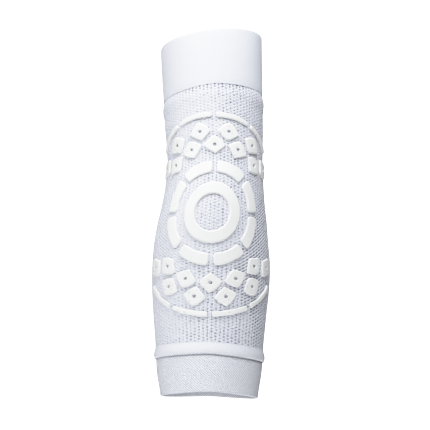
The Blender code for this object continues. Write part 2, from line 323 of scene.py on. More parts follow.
# %% The signal class
class Signal:
    """An output socket of a shader tree that can be used in sums."""

    def __init__(self, tree, socket=None):
        self.tree = tree
        self.socket = socket

    def node(self, kind, settings=None, values=None, output=0):
        """Adds a node, sets it, fills its sockets with numbers or signals, gives an output."""
        made = self.tree.nodes.new(kind)
        for name, value in (settings or {}).items():
            setattr(made, name, value)
        for name, value in (values or {}).items():
            if isinstance(value, Signal):
                self.tree.links.new(value.socket, made.inputs[name])
            else:
                made.inputs[name].default_value = value
        return Signal(self.tree, made.outputs[output])

    def sum(self, operation, first, second=0.0):
        return self.node("ShaderNodeMath", {"operation": operation}, {0: first, 1: second})

    def __add__(self, other):
        return self.sum("ADD", self, other)

    def __radd__(self, other):
        return self.sum("ADD", other, self)

    def __sub__(self, other):
        return self.sum("SUBTRACT", self, other)

    def __rsub__(self, other):
        return self.sum("SUBTRACT", other, self)

    def __mul__(self, other):
        return self.sum("MULTIPLY", self, other)

    def __rmul__(self, other):
        return self.sum("MULTIPLY", other, self)

    def part(self):
        """What is left past the whole number, which repeats a pattern."""
        return self.sum("FRACT", self)

    def size(self):
        return self.sum("ABSOLUTE", self)

    def wave(self):
        """A smooth wave from 0 to 1 and back for each whole step."""
        return 0.5 - 0.5 * self.sum("COSINE", self * (2 * math.pi))

    def bump(self, strength, distance):
        """The normal of a surface that stands up as this signal does."""
        values = {"Strength": strength, "Distance": distance, "Height": self}
        return self.node("ShaderNodeBump", None, values)

    def feed(self, shader, name):
        self.tree.links.new(self.socket, shader.inputs[name])


def new_finish(name, roughness, sheen, gloss=0.25):
    """A material with only a Principled shader, and a signal to build its patterns from."""
    material = bpy.data.materials.new(name)
    material.use_nodes = True
    shader = material.node_tree.nodes["Principled BSDF"]
    shader.inputs["Roughness"].default_value = roughness
    shader.inputs["Sheen Weight"].default_value = sheen
    shader.inputs["Sheen Roughness"].default_value = 0.5
    shader.inputs["Specular IOR Level"].default_value = gloss
    return material, shader, Signal(material.node_tree)


def blend_colours(start, share, first, second):
    """Share 0 gives the first end and 1 the second. An end is a colour or another blend."""
    ends = [end if isinstance(end, Signal) else (*end, 1.0) for end in (first, second)]
    values = {"Factor": share, 6: ends[0], 7: ends[1]}
    return start.node("ShaderNodeMix", {"data_type": "RGBA"}, values, output=2)


def soft_mottle(start, scale, detail=2.0):
    place = start.node("ShaderNodeTexCoord", output="Object")
    values = {"Vector": place, "Scale": scale, "Detail": detail}
    return start.node("ShaderNodeTexNoise", {"noise_dimensions": "3D"}, values)


def stitch_axes(start):
    """Stitches across and along the cloth, from the piece's own UV map."""
    place = {"Vector": start.node("ShaderNodeUVMap", {"uv_map": "stitches"})}
    return [start.node("ShaderNodeSeparateXYZ", None, place, axis) for axis in "XY"]


print("shader helper ready")

# %% [markdown]
# ## The plain knit
#
# Cuffs and welt are a fine plain knit in a slightly cool white. Every stitch of such a knit is a
# small V, and the stitches stand in columns, the wales. The pieces carry their own UV map, counted
# in stitches, so the pattern follows the cloth round the arm. The V comes from bending the rows
# of a wave downwards towards the middle of each wale. Fine slanting lines lie over it on the
# cuffs, strongest on the lower one. All this feeds a bump, because a stitch is under a millimetre.
# It feeds the colour too: the hollows of each stitch and the fine pinholes get painted shade.


# %% Knit finishes
CLOTH_SHEEN = 0.04
V_BEND = 1.1
ROW_SHARE = 0.45
TWILL_LINES = 0.42
MOTTLE_SCALE = 260.0
SPECK_SCALE = 900.0
STITCH_HEIGHT = 0.0003


def stitch_relief(start, fineness=1.0):
    """Height of a plain knit. At fineness 1, each unit of the stitch map is a stitch."""
    across, along = [axis * fineness for axis in stitch_axes(start)]
    from_middle = (across.part() - 0.5).size()
    leg = (from_middle * 2.0).wave()
    row = (along + from_middle * V_BEND).wave()
    return leg * (1 - ROW_SHARE + ROW_SHARE * row)


def plain_knit(name, light, shade, bump, specks, twill=0.0):
    """Specks set how far the finer of the two cloths shows its pinholes, twill its slant."""
    material, shader, start = new_finish(name, 0.85, CLOTH_SHEEN)
    across, along = stitch_axes(start)
    relief = stitch_relief(start)
    mottle = soft_mottle(start, MOTTLE_SCALE)
    fine = soft_mottle(start, SPECK_SCALE)
    lines = (((across + along) * TWILL_LINES).wave() - 0.5) * twill
    # Colour: painted shade in the stitches' hollows and in the pinholes' specks. Mottle and twill
    # are the yarn's own tone.
    share = relief * 0.5 + mottle * 0.5 + (fine - 0.5) * specks + lines
    blend_colours(start, share, shade, light).feed(shader, "Base Color")
    (relief + mottle * 0.3 + lines).bump(bump, STITCH_HEIGHT).feed(shader, "Normal")
    return material


cuff_knit = plain_knit("cuff_knit", (0.79, 0.81, 0.865), (0.72, 0.74, 0.795), 0.35, 0.8, 0.6)
welt_knit = plain_knit("welt_knit", (0.80, 0.815, 0.87), (0.70, 0.715, 0.77), 0.3, 1.6)
hem_knit = plain_knit("hem_knit", (0.91, 0.93, 0.985), (0.64, 0.655, 0.71), 0.6, 3.0, 2.0)
print("plain knits made")

# %% [markdown]
# ## The openwork knit
#
# The body's yarn is the same, but its eyelets are real dents in the mesh. The depth of each dent
# is stored as an attribute, and the material paints shade into the yarn there, darker and cooler
# the deeper the dent, as the shade in a hole between white yarns looks. The yarn is uneven too,
# along the columns in front and along the ribs on the flanks, and the hollows of the stitches and
# the grooves of the ribs get painted shade. The eyelets open wider and deeper towards the right,
# and the painted shade in them and the contrast of the yarn grow from left to right too, towards
# the side of the arm where less light falls.


# %% Openwork finish
COLUMNS = 82
YARN_SHADE = (0.64, 0.655, 0.725)
YARN_LIGHT = (0.78, 0.795, 0.855)
EYELET_SHADE = (0.41, 0.425, 0.50)
RIB_CLIMB = 0.5
UPRIGHT_STREAKS = (2.4, 1.2, 6.0)
SLANTED_STREAKS = (0.8, 2.0, 4.0)
FINE_STREAKS = (3.1, 2.6, 6.0)
# Painted shade for the side where less light falls: its middle, its swing round the arm, its least
# share.
SIDE_SHADE_MIDDLE = 0.34
SIDE_SHADE_SWING = 0.54
SIDE_SHADE_LEAST = 0.04
OPENWORK_BUMP = (0.5, 0.0004)


def streaks(start, across, along, size):
    """Uneven yarn from 0 to 1: noise with so many streaks across and along, and a contrast."""
    many_across, many_along, contrast = size
    axes = {"X": across * many_across, "Y": along * many_along}
    place = start.node("ShaderNodeCombineXYZ", None, axes)
    values = {"Vector": place, "Scale": 1.0, "Detail": 1.5}
    noise = start.node("ShaderNodeTexNoise", {"noise_dimensions": "2D"}, values)
    settings = {"operation": "ADD", "use_clamp": True}
    return start.node("ShaderNodeMath", settings, {0: (noise - 0.5) * contrast, 1: 0.5})


def painted_side_shade(start, signed):
    """Painted shade for each column, most on the right of the arm, where less light falls."""
    swing = start.sum("SINE", signed * (2 * math.pi / COLUMNS)) * SIDE_SHADE_SWING
    values = {"Value": swing + SIDE_SHADE_MIDDLE, "Min": SIDE_SHADE_LEAST}
    return start.node("ShaderNodeClamp", None, values)


def flank_ribs(start, signed, climbing, flank):
    """Slanting ribs on the flanks, half as strong and half a rib further on at the left."""
    left = start.sum("LESS_THAN", signed, 0.0)
    return flank * (1 - 0.5 * left) * ((climbing - 0.25 - left * 0.5).wave() - 0.5)


def open_knit(name):
    material, shader, start = new_finish(name, 0.88, CLOTH_SHEEN)
    flank, eyelet, tone = [
        start.node("ShaderNodeAttribute", {"attribute_name": mark}, output="Fac")
        for mark in ("flank", "eyelet", "tone")
    ]
    signed, along = stitch_axes(start)
    across = signed.size()
    climbing = along - across * RIB_CLIMB
    upright = streaks(start, signed, along, UPRIGHT_STREAKS)
    slanted = streaks(start, across, climbing, SLANTED_STREAKS)
    fine = streaks(start, signed, along, FINE_STREAKS)
    uneven = upright + flank * (slanted - upright)
    rib = flank_ribs(start, signed, climbing, flank)
    relief = stitch_relief(start, 2.0)
    # This share paints more shade into the eyelets and more contrast into the yarn towards the
    # right, where less light falls.
    side_shade = painted_side_shade(start, signed)
    grain = (uneven * 0.65 + fine * 0.6 - 0.62) * (0.25 + side_shade)
    # Relief and rib lighten the tops of stitches and ribs and paint shade into the hollows and
    # grooves between them. Tone is random yarn tone.
    share = 0.55 + grain + relief * 0.15 + (tone - 0.5) * 0.25 + rib * 0.4
    yarn = blend_colours(start, share, YARN_SHADE, YARN_LIGHT)
    # Painted shade in the eyelets: the deeper the dent, the nearer the yarn comes to EYELET_SHADE.
    shaded = eyelet * (0.2 + 0.75 * side_shade)
    blend_colours(start, shaded, yarn, EYELET_SHADE).feed(shader, "Base Color")
    (grain * 1.3 + relief * 0.4 + rib).bump(*OPENWORK_BUMP).feed(shader, "Normal")
    return material


body_knit = open_knit("body_knit")
print("openwork knit made")

# %% [markdown]
# ## The silicone
#
# The relief is cast silicone in a warm white, a little yellower than the yarn. It is smooth and
# satin rather than glossy. Its surface is slightly uneven from the print. The pads of the two
# fields are thinner casts, so they also have small pits where air came up through the cloth.


# %% Silicone finish
PALE_SILICONE = ((0.825, 0.83, 0.815), (0.87, 0.875, 0.865))
PIT_SHADE = (0.55, 0.55, 0.53)
PIT_SCALE = 250.0
PIT_RADIUS = 0.24
SILICONE_BUMP = (0.3, 0.0002)


def air_pits(start, pits):
    """1 at the heart of each small pit and 0 between them, or 0 all over."""
    place = start.node("ShaderNodeTexCoord", output="Object")
    values = {"Vector": place, "Scale": PIT_SCALE}
    apart = start.node("ShaderNodeTexVoronoi", {"voronoi_dimensions": "3D"}, values)
    settings = {"operation": "MULTIPLY", "use_clamp": True}
    return start.node("ShaderNodeMath", settings, {0: PIT_RADIUS - apart, 1: 9.0 * pits})


def silicone(name, pits):
    """Pits is 1 for a cast with pits in it and 0 for a closed one."""
    material, shader, start = new_finish(name, 0.42, 0.0, 0.45)
    cloud = soft_mottle(start, 45.0, 3.0)
    grain = soft_mottle(start, 700.0)
    pit = air_pits(start, pits)
    pale = blend_colours(start, cloud, *PALE_SILICONE)
    # The pits are painted darker, as shade in their small hollows.
    blend_colours(start, pit * 0.4, pale, PIT_SHADE).feed(shader, "Base Color")
    (0.34 + 0.16 * cloud).feed(shader, "Roughness")
    height = cloud * 1.5 + grain * (0.25 + 0.8 * pits) - pit * 2.0
    height.bump(*SILICONE_BUMP).feed(shader, "Normal")
    return material


band_silicone = silicone("band_silicone", 0.0)
field_silicone = silicone("field_silicone", 1.0)
print("silicones made")

# %% [markdown]
# ## Cuffs and welt
#
# Each is a tube whose wall is a closed outline: up the outside, round the folded edge, and down
# the inside. The outline is swept round the arm along the knitted courses. A cuff is knitted
# double and folded over at its free end, so that edge is a soft round of the wall's thickness. The
# welt is the rolled end of the body, which stands proud of the lower cuff and laps over it.


# %% Tubes from a wall outline
AROUND = 160
EDGE_STITCHES = 110
WALE = 0.0009
COURSE = 0.0008


def straight(low, high, count, lift=0.0):
    """Points of an outline along a plain stretch of wall."""
    return [(low + (high - low) * index / count, lift) for index in range(count + 1)]


def fold(level, upwards, steps=7):
    """Points of a cuff's fold, from outside to inside. Upwards is 1 at the top and -1 below."""
    radius = CUFF_WALL / 2
    rise = radius * upwards
    angles = [math.pi * index / steps for index in range(1, steps)]
    return [(level + rise * math.sin(a), radius * math.cos(a) - radius) for a in angles]


def put_piece(name, mesh):
    """Puts a mesh into the scene as a piece of its own, and tells how large it is."""
    piece = bpy.data.objects.new(name, mesh)
    bpy.context.scene.collection.objects.link(piece)
    mesh.calc_loop_triangles()
    print(name, len(mesh.loop_triangles), "triangles")
    return piece


def add_piece(name, points, faces, finish):
    mesh = bpy.data.meshes.new(name)
    mesh.from_pydata([tuple(point) for point in points], [], faces)
    mesh.materials.append(finish)
    mesh.shade_smooth()
    return put_piece(name, mesh)


def add_stitch_map(mesh, across, along):
    """A UV map counted in stitches, from a place across and along for each face corner."""
    layer = mesh.uv_layers.new(name="stitches")
    layer.data.foreach_set("uv", np.stack([across, along], axis=-1).astype(np.float32).ravel())


def swept_tube(name, outline, finish, wander=0.0, ripple=0.0, around=AROUND):
    """A tube round the arm from the closed outline of its wall. Ripple marks edge stitches."""
    outline = np.array(outline)
    turns = full_turn(around)
    level = outline[:, 0][:, None] + np.asarray(ripple)[..., None] * np.cos(EDGE_STITCHES * turns)
    uneven = np.sin(3 * turns + 1.0 + 45 * level) + np.sin(5 * turns - 70 * level)
    lift = outline[:, 1][:, None] + wander * uneven / 2
    points = knit_points(turns[None, :], level, lift).reshape(-1, 3)
    lengths = np.hypot(*(np.roll(outline, -1, axis=0) - outline).T)
    heights = np.concatenate([[0.0], np.cumsum(lengths)]) / COURSE
    wales = round(np.pi * UPPER_WIDTH / WALE)
    ring, side = np.divmod(np.arange(len(outline) * around)[:, None], around)
    corners_up = ring + np.array([0, 0, 1, 1])
    corners_round = side + np.array([0, 1, 1, 0])
    faces = corners_up % len(outline) * around + corners_round % around
    piece = add_piece(name, points, faces.tolist(), finish)
    add_stitch_map(piece.data, corners_round / around * wales, heights[corners_up])
    return piece


print("tubes have", AROUND, "points round the arm")

# %% Upper cuff, welt and lower cuff
WANDER = 0.00012
ROLL_GROOVE = 0.0016
WELT_LAP = 0.0005
LAP_LIFT = 0.00006
LAP_UNDERSIDE = 0.00045
EDGE_ROUND = 0.0002
EDGE_STEPS = 6
FADE_DEPTH = 0.0002
FADE_HEIGHT = 0.0040
TUCK_DIP = SEAM_DIP * 1.6
RIPPLE = 0.00035
RIPPLE_FADE = (1.0, 1.0, 0.7, 0.3)
ROLL = (
    # share of the height, share of the rise
    (0.00, 0.10), (0.02, 0.36), (0.06, 0.60), (0.13, 0.82), (0.22, 0.95), (0.34, 1.00),
    (0.46, 0.96), (0.58, 0.82), (0.70, 0.60), (0.82, 0.35), (0.92, 0.16), (0.98, 0.07),
)


def upper_cuff():
    """The cuff's double cloth laps over the first courses of the body."""
    low = TOP_SEAM - CUFF_LAP
    shoulder = TOP_SEAM + SEAM_GAP / 2
    high = UPPER_REACH - CUFF_WALL / 2
    outline = [(shoulder, -LAP_UNDERSIDE), (low, -LAP_UNDERSIDE)]
    for index in range(EDGE_STEPS):
        angle = math.pi / 2 * index / EDGE_STEPS
        inwards = FADE_DEPTH + EDGE_ROUND * (1 - math.sin(angle))
        outline.append((low + EDGE_ROUND * (1 - math.cos(angle)), -inwards))
    for level, _ in straight(low + EDGE_ROUND, low + FADE_HEIGHT, 8):
        outline.append((level, -FADE_DEPTH * ramp(level, low + FADE_HEIGHT, low + EDGE_ROUND)))
    outline += straight(low + FADE_HEIGHT, high, 16)[1:]
    outline += fold(high, 1)
    outline += straight(high, shoulder, 8, -CUFF_WALL)
    return swept_tube("upper_cuff_knit", outline, cuff_knit, WANDER)


def lower_cuff():
    low = CUFF_WALL / 2 - LOWER_REACH
    high = LOWER_SEAM + WELT_TUCK
    outline = straight(high, low, 8, -CUFF_WALL)
    outline += fold(low, -1)[::-1]
    outline += straight(low, LOWER_SEAM - ROLL_GROOVE, 14)
    outline += [(LOWER_SEAM - ROLL_GROOVE / 2, -SEAM_DIP), (LOWER_SEAM, -TUCK_DIP)]
    outline += [(high, -TUCK_DIP)]
    return swept_tube("lower_cuff_knit", outline, hem_knit, WANDER)


def lower_welt():
    """The roll is an arc from the body's face out to WELT_RISE and back under to the cuff."""
    top = WELT_TOP - SEAM_GAP / 2
    shoulder = LOWER_SEAM + WELT_TUCK + SEAM_GAP
    outline = [(top, LAP_LIFT), (top, -BODY_WALL), (shoulder, -BODY_WALL), (shoulder, SEAM_GAP)]
    outline += [(LOWER_SEAM + SEAM_GAP, SEAM_GAP)]
    hidden = len(outline)
    outline += [(LOWER_SEAM + WELT_HEIGHT * up, WELT_RISE * out) for up, out in ROLL]
    outline += [(WELT_TOP + WELT_LAP, LAP_LIFT * 1.5), (WELT_TOP + WELT_LAP, LAP_LIFT)]
    ripple = np.zeros(len(outline))
    ripple[hidden : hidden + len(RIPPLE_FADE)] = RIPPLE * np.array(RIPPLE_FADE)
    ripple[-2:] = RIPPLE
    around = EDGE_STITCHES * 6
    return swept_tube("lower_welt_knit", outline, welt_knit, WANDER / 2, ripple, around)


tubes = [upper_cuff(), lower_cuff(), lower_welt()]

# %% [markdown]
# ## The openwork body: the lattice
#
# The body is knitted in columns of eyelets, each column half a step off the next. The lattice has
# one six-sided cell for each eyelet. Its rows run level over the front. On the flanks they climb
# outwards, and there the eyelets close into slanting grooves between ribs, because the cloth is
# pulled over the elbow. Each cell carries its own numbers: the way its eyelet points, how far it
# opens both ways, and how deep it goes.

# %% Lattice of cells
CELL_ROWS = 84
COLUMN_POINTS = 2 * CELL_ROWS + 1
ZIGZAG = 0.13
UNEVENNESS = 0.14
FLANK_EVENNESS = 0.8
RISE_OF_FLANKS = 0.009
RIB_LEVEL = -0.043
RIB_REACH = 0.058
RIB_EDGES = (0.34, 0.96)
RIB_BLEND = 0.22


def turn_from_front(turn):
    return (turn + np.pi) % (2 * np.pi) - np.pi


def body_lift(turn, level):
    """The body stands a little proud where the tighter cuff lets it go, mostly at the sides."""
    edge = TOP_SEAM - CUFF_LAP
    below = np.clip((edge - level) / PUFF_LENGTH, 0.0, 1.0)
    sideways = ramp(np.abs(turn_from_front(turn)), 0.5, 1.2)
    rise = PUFF_RISE * (0.3 + 0.7 * sideways) * np.sin(np.pi * below**0.75)
    valley = TOP_SEAM - CUFF_LAP * 0.7
    dip = SEAM_VALLEY * ramp(level, valley - VALLEY_HEIGHT, valley)
    return np.where(level > edge - PUFF_LENGTH, rise - dip, 0.0)


def flank_share(turn, level):
    """1 on the flanks beside and below the elbow, where the cloth shows ribs, and 0 in front."""
    away = np.abs(turn_from_front(turn))
    nearest, furthest = RIB_EDGES
    edge = nearest + (furthest - nearest) * ramp(np.abs(level - RIB_LEVEL), 0.0, RIB_REACH)
    sideways = ramp(away, edge, edge + RIB_BLEND) * ramp(away, 2.7, 2.2)
    return sideways * ramp(level, 0.026, 0.006) * ramp(level, -0.098, -0.088)


def course_level(turn, share):
    """The level of a course that starts at a share of the body's height."""
    low = WELT_TOP + SEAM_GAP / 2
    high = TOP_SEAM - SEAM_GAP / 2
    away = np.abs(turn_from_front(turn))
    climb = ramp(away, 0.3, 1.5) * ramp(away, np.pi, np.pi - 1.2)
    climb = climb * ramp(share, 0.0, 0.32) * ramp(share, 0.78, 0.40)
    return low + (high - low) * share + RISE_OF_FLANKS * climb


def cloth_points(turn, share):
    level = course_level(turn, share)
    return knit_points(turn, level, body_lift(turn, level))


rng = np.random.default_rng(7)
line = np.arange(COLUMNS)[:, None]
line_turn = full_turn(COLUMNS)[:, None]
step = np.arange(COLUMN_POINTS)[None, :]
side = np.where((line + step) % 2 == 0, 1.0, -1.0)
even_level = course_level(line_turn, step / (2 * CELL_ROWS))
inner_steps = (step > 0) & (step < 2 * CELL_ROWS)
free = inner_steps * (1 - FLANK_EVENNESS * flank_share(line_turn, even_level))
shift_across, shift_along = UNEVENNESS * free * rng.uniform(-1, 1, (2, COLUMNS, COLUMN_POINTS))
lattice_turn = line_turn + 2 * np.pi * (ZIGZAG * side + shift_across) / COLUMNS
lattice_share = (step + shift_along) / (2 * CELL_ROWS)
lattice_points = cloth_points(lattice_turn, lattice_share)
print("lattice points", lattice_points.shape[:2])


# %% Cells and their eyelets
def lattice_cells():
    """Corner indices of each cell. Six corners are a whole cell, and four a half one."""
    cells = []
    for column in range(COLUMNS):
        left = column * COLUMN_POINTS
        right = (column + 1) % COLUMNS * COLUMN_POINTS
        odd = column % 2
        for low in range(odd, 2 * CELL_ROWS - 1, 2):
            a = left + low
            b = right + low
            cells.append((a, b, b + 1, b + 2, a + 2, a + 1))
        if odd:
            for low in (0, 2 * CELL_ROWS - 1):
                a = left + low
                b = right + low
                cells.append((a, b, b + 1, a + 1))
    return cells


cells = lattice_cells()
whole = np.array([len(cell) == 6 for cell in cells])
flat_points = lattice_points.reshape(-1, 3)
flat_level = course_level(lattice_turn, lattice_share).ravel()
cell_index = np.array([cell[0] for cell in cells])
cell_turn = lattice_turn.ravel()[cell_index] + np.pi / COLUMNS
cell_level = np.array([flat_level[list(cell)].mean() for cell in cells])
print(len(cells), "cells,", int(whole.sum()), "with an eyelet")

# %% [markdown]
# ## The openwork body: opening the eyelets
#
# A Geometry Nodes tree turns the flat cells into eyelets. It lifts a copy of each face off its
# cell, squeezes it along two directions that each cell carries as attributes, and pushes it into
# the cloth. Doing it with nodes keeps the knit a rule rather than a model: the same tree opens any
# lattice that carries these attributes.


# %% The eyelet tree
def add_node(tree, kind, values, **settings):
    """Adds a node, sets it, fills its sockets with values or outputs, gives its outputs."""
    node = tree.nodes.new(kind)
    for name, value in settings.items():
        setattr(node, name, value)
    for name, value in values.items():
        if isinstance(value, bpy.types.NodeSocket):
            tree.links.new(value, node.inputs[name])
        else:
            node.inputs[name].default_value = value
    return node.outputs


def attribute(tree, name, kind="FLOAT"):
    made = add_node(tree, "GeometryNodeInputNamedAttribute", {"Name": name}, data_type=kind)
    return made["Attribute"]


def squeeze(tree, geometry, faces, share, **axis):
    """Shrinks faces about their middles, all round or along one axis."""
    values = {"Geometry": geometry, "Selection": faces, "Scale": share, **axis}
    settings = {"domain": "FACE", "scale_mode": "SINGLE_AXIS" if axis else "UNIFORM"}
    return add_node(tree, "GeometryNodeScaleElements", values, **settings)["Geometry"]


def raise_faces(tree, geometry, faces, height):
    """Lifts a copy of each face off its place. Gives the mesh and the lifted faces."""
    values = {"Mesh": geometry, "Selection": faces, "Offset Scale": height, "Individual": True}
    made = add_node(tree, "GeometryNodeExtrudeMesh", values, mode="FACES")
    return made["Mesh"], made["Top"]


def opened_cells(tree, lattice, depth, taper):
    """The lattice with each eyelet squeezed to its opening and pushed in to its depth."""
    rim, lips = raise_faces(tree, lattice, attribute(tree, "has_eyelet", "BOOLEAN"), 0.0)
    for share, axis in (("open_along", "grain"), ("open_across", "cross")):
        direction = attribute(tree, axis, "FLOAT_VECTOR")
        rim = squeeze(tree, rim, lips, attribute(tree, share), Axis=direction)
    share = attribute(tree, "depth_share")
    depth = add_node(tree, "ShaderNodeMath", {0: depth, 1: share}, operation="MULTIPLY")[0]
    dent, floor_faces = raise_faces(tree, rim, lips, depth)
    dent = squeeze(tree, dent, floor_faces, taper)
    # The floor faces keep their depth share as the eyelet attribute, which the finish turns into
    # painted shade.
    values = {"Geometry": dent, "Selection": floor_faces, "Name": "eyelet", "Value": share}
    settings = {"data_type": "FLOAT", "domain": "FACE"}
    return add_node(tree, "GeometryNodeStoreNamedAttribute", values, **settings)["Geometry"]


def eyelet_tree():
    tree = bpy.data.node_groups.new("open_eyelets", "GeometryNodeTree")
    for name, way, kind in (
        ("Geometry", "INPUT", "Geometry"),
        ("Depth", "INPUT", "Float"),
        ("Taper", "INPUT", "Float"),
        ("Finish", "INPUT", "Material"),
        ("Geometry", "OUTPUT", "Geometry"),
    ):
        tree.interface.new_socket(name, in_out=way, socket_type="NodeSocket" + kind)
    given = tree.nodes.new("NodeGroupInput").outputs
    result = tree.nodes.new("NodeGroupOutput").inputs
    dents = opened_cells(tree, given["Geometry"], given["Depth"], given["Taper"])
    real = add_node(tree, "GeometryNodeRealizeInstances", {"Geometry": dents})["Geometry"]
    values = {"Geometry": real, "Material": given["Finish"]}
    dressed = add_node(tree, "GeometryNodeSetMaterial", values)["Geometry"]
    tree.links.new(dressed, result["Geometry"])
    return tree


def made_by_tree(name, base, tree, inputs):
    """The plain mesh that a tree makes of a base object, as a new object."""
    modifier = base.modifiers.new("tree", "NODES")
    modifier.node_group = tree
    for item in tree.interface.items_tree:
        if item.in_out == "INPUT" and item.name in inputs:
            modifier[item.identifier] = inputs[item.name]
    graph = bpy.context.evaluated_depsgraph_get()
    mesh = bpy.data.meshes.new_from_object(base.evaluated_get(graph))
    mesh.name = name
    bpy.data.objects.remove(base)
    return put_piece(name, mesh)


opener = eyelet_tree()
print("eyelet tree has", len(opener.nodes), "nodes")

# %% [markdown]
# ## The openwork body: putting it together
#
# The eyelets are widest down the middle of the front and under the upper cuff, smaller over the
# back of the arm, and narrow slanting grooves on the flanks. The lattice becomes the outer face of
# a closed solid. The inner face is a smooth tube, joined to it along both edges.

# %% Numbers for each eyelet
EYELETS = {
    # share of the cell opened sideways and up, share of the depth
    "back": (0.28, 0.40, 0.35),
    "front": (0.33, 0.50, 0.90),
    "flank": (0.92, 0.43, 0.95),
    "dash": (0.50, 0.90, 1.00),
}
# growth to the right, low down and high up
OPENING_GROWTH = (0.15, 0.3, -0.1)
DEPTH_GROWTH = (0.45, 0.3, -0.35)
INSIDE_LOSS = 0.25
LEFT_FLANK_LOSS = 0.6
OPENING_LIMITS = (0.15, 0.92)
DEPTH_LIMITS = (0.2, 1.05)
VARIETY = 0.28
EVENNESS = 0.7
EYELET_DEPTH = 0.0008
EYELET_TAPER = 0.7

away = np.abs(turn_from_front(cell_turn))
front = ramp(away, 1.9, 0.8)
flank = flank_share(cell_turn, cell_level)
dash = ramp(cell_level, TOP_SEAM - 0.0056, TOP_SEAM - 0.0041) * ramp(away, 0.9, 0.5)
spread = np.exp(VARIETY * rng.standard_normal((3, len(cells))).clip(-2, 2))
half, back, _, _ = section_at(cell_level)
elbow_distance = np.hypot(away * (half + back) / 2, cell_level)
inside = ramp(elbow_distance, 0.036, 0.032) * ramp(cell_level, 0.014, 0.004)
to_the_right = np.sin(cell_turn) * front
low_down = ramp(cell_level, -0.080, -0.090) * front
high_up = ramp(cell_level, 0.045, 0.065) * front


def by_place(measure, growth):
    """A measure of each eyelet where it lies. Growth is to the right, low down and high up."""
    share = EYELETS["back"][measure] * (1 - front) + EYELETS["front"][measure] * front
    share = share + (EYELETS["flank"][measure] - share) * flank
    grown = 1 + growth[0] * to_the_right + growth[1] * low_down + growth[2] * high_up
    return share * (1 - INSIDE_LOSS * inside) * grown


def opening(way):
    """Share of a cell that its eyelet opens along one way: 0 sideways, 1 up."""
    share = by_place(way, OPENING_GROWTH)
    share = share + (EYELETS["dash"][way] - share) * dash
    even = np.maximum(flank, dash) * EVENNESS
    return np.clip(share * (spread[way] * (1 - even) + even), *OPENING_LIMITS)


open_along = opening(0)
open_across = opening(1)
depth_share = by_place(2, DEPTH_GROWTH) * (1 - dash) * spread[2] + EYELETS["dash"][2] * dash
left_flank = flank * (np.sin(cell_turn) < 0)
depth_share = np.clip(depth_share, *DEPTH_LIMITS) * (1 - LEFT_FLANK_LOSS * left_flank)
yarn_tone = rng.uniform(0, 1, len(cells))


def unit(vectors):
    return vectors / np.linalg.norm(vectors, axis=1)[:, None]


def cell_directions():
    """The way each eyelet opens: along the course in front, along the ribs on the flanks."""
    middle = (cell_index % COLUMN_POINTS + 1) / (2 * CELL_ROWS)
    here = cloth_points(cell_turn, middle)
    beside = cloth_points(cell_turn + 0.01, middle) - here
    above = cloth_points(cell_turn, middle + 0.001) - here
    outwards = np.sign(np.sin(cell_turn))
    next_turn = cell_turn + outwards * 2 * np.pi / COLUMNS
    ribs = unit(cloth_points(next_turn, middle + 0.5 / CELL_ROWS) - here) * outwards[:, None]
    along = unit(unit(beside) * (1 - flank)[:, None] + ribs * flank[:, None])
    return along, np.cross(unit(np.cross(beside, above)), along)


grain, cross = cell_directions()
print("eyelets", round(float(open_along.min()), 2), "to", round(float(open_along.max()), 2))


# %% Body
INNER_RINGS = 16


def body_shell():
    """The lattice, the inner wall and the two rims as one closed mesh of flat faces."""
    turns = full_turn(COLUMNS)
    levels = course_level(0 * turns, np.arange(INNER_RINGS + 1)[:, None] / INNER_RINGS)
    inner = knit_points(turns, levels, body_lift(turns, levels) - BODY_WALL)
    faces = list(cells)
    base = len(flat_points)
    top = base + INNER_RINGS * COLUMNS
    pairs = [(column, (column + 1) % COLUMNS) for column in range(COLUMNS)]
    for low in range(base, top, COLUMNS):
        high = low + COLUMNS
        faces += [(low + b, low + a, high + a, high + b) for a, b in pairs]
    for a, b in pairs:
        left = a * COLUMN_POINTS
        right = b * COLUMN_POINTS
        last = COLUMN_POINTS - 1
        faces.append((right, left, base + a, base + b))
        faces.append((left + last, right + last, top + b, top + a))
    return np.concatenate([flat_points, inner.reshape(-1, 3)]), faces


def mark_cells(mesh, kind, field, **marks):
    """Stores each mark of the cells as an attribute, with 0 for all other faces."""
    for name, values in marks.items():
        filled = np.zeros((len(mesh.polygons), *values.shape[1:]), values.dtype)
        filled[: len(values)] = values
        mark = mesh.attributes.new(name, kind, "FACE")
        mark.data.foreach_set(field, filled.ravel().tolist())


def open_body():
    base = add_piece("body_lattice", *body_shell(), body_knit)
    mesh = base.data
    mark_cells(mesh, "BOOLEAN", "value", has_eyelet=whole)
    mark_cells(mesh, "FLOAT", "value", open_along=open_along, open_across=open_across)
    mark_cells(mesh, "FLOAT", "value", depth_share=depth_share, flank=flank, tone=yarn_tone)
    mark_cells(mesh, "FLOAT_VECTOR", "vector", grain=grain, cross=cross)
    inputs = {"Depth": -EYELET_DEPTH, "Taper": EYELET_TAPER, "Finish": body_knit}
    return made_by_tree("sleeve_body_knit", base, opener, inputs)


body = open_body()


# %% Stitch map of the body
def stitch_places(place):
    """Columns round and rows along at each point, found by following the courses back."""
    x, y, z = place.T
    half, back, inner, shift = section_at(z)
    forward = axis_at(z) - y
    turn = np.arctan2((x - shift) / half, forward / np.where(forward > 0, back, inner))
    level = z
    for _ in range(4):
        level = level + z - knit_points(turn, level, 0.0)[:, 2]
    share = (level - WELT_TOP) / (TOP_SEAM - WELT_TOP)
    for _ in range(4):
        share = share + (level - course_level(turn, share)) / (TOP_SEAM - WELT_TOP)
    return turn / (2 * np.pi) * COLUMNS, share * CELL_ROWS


def read_all(items, field, kind=int, width=1):
    values = np.empty(len(items) * width, kind)
    items.foreach_get(field, values)
    return values


